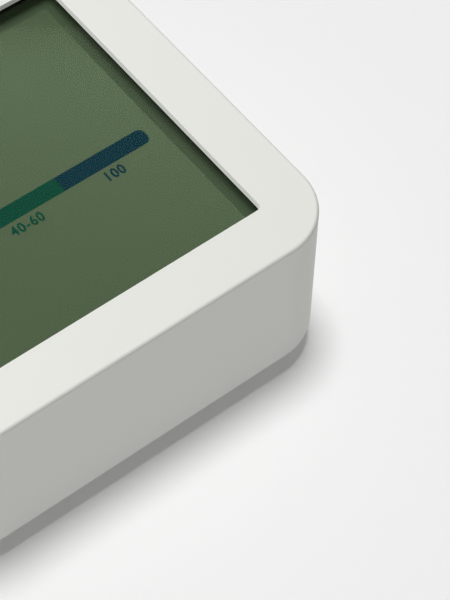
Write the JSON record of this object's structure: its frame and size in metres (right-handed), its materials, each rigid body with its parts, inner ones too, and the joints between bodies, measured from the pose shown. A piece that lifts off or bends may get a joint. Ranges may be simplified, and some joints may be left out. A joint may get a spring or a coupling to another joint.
{
  "type": "smart thermo-hygrometer",
  "caption": "Square white thermo-hygrometer with a recessed reflective display, slide-off back cover, magnets, fold-out stand and a push button.",
  "frame": {"origin": "on the resting face under the middle of the case", "axes": "+Z is the display's normal, +X its right side, +Y its upper edge; the part lies on its back as in the picture"},
  "size_m": [0.055, 0.055, 0.024],
  "materials": {
    "white_shell": "fine satin moulded ABS",
    "white_button": "satin moulded ABS",
    "clear_lens": "polished clear acrylic",
    "display_glass": "clear float glass",
    "polariser_film": "grey-green film",
    "reflector": "grey-green reflective film",
    "foam": "black foam",
    "inner_plastic": "moulded ABS",
    "silicone_strip": "silicone with carbon layers",
    "circuit_board": "solder mask over glass fibre",
    "chip_package": "moulded epoxy",
    "membrane": "porous membrane",
    "nickel": "nickel plate",
    "steel": "zinc-plated steel",
    "cell_wrap": "printed wrap, plain"
  },
  "bodies": {
    "case": {"front_housing": "white_shell", "display_lens": "clear_lens", "lens_adhesive": "foam", "front_polariser": "polariser_film", "front_glass": "display_glass", "rear_glass": "display_glass", "reflector_film": "reflector", "display_frame": "inner_plastic", "contact_strip": "silicone_strip", "main_board": "circuit_board", "radio_chip": "chip_package", "display_driver": "chip_package", "crystal": "nickel", "chip_parts": "chip_package", "humidity_sensor": "chip_package", "sensor_seal": "foam", "vent_membrane": "membrane", "tact_switch": "chip_package", "case_screws": "steel", "board_screws": "steel", "rear_chassis": "white_shell", "contact_positive": "nickel", "contact_negative": "nickel", "contact_link": "nickel", "upper_cell": "cell_wrap", "lower_cell": "cell_wrap"},
    "cover": {"back_cover": "white_shell", "magnets": "nickel", "stand_pin": "steel"},
    "stand": {"stand": "white_shell"},
    "button": {"button": "white_button", "switch_plunger": "inner_plastic"}
  },
  "joints": [
    {"name": "cover_slide", "type": "slide", "parent": "case", "child": "cover", "axis": [0, -1, 0], "range_m": [0, 0.004]},
    {"name": "stand_hinge", "type": "hinge", "parent": "cover", "child": "stand", "pos_m": [0, -0.0193, 0.0013], "axis": [-1, 0, 0], "range_deg": [0, 90]},
    {"name": "button_press", "type": "slide", "parent": "case", "child": "button", "axis": [0, 0, 1], "range_m": [0, 0.0005], "stiffness_N_per_m": 3000}
  ]
}
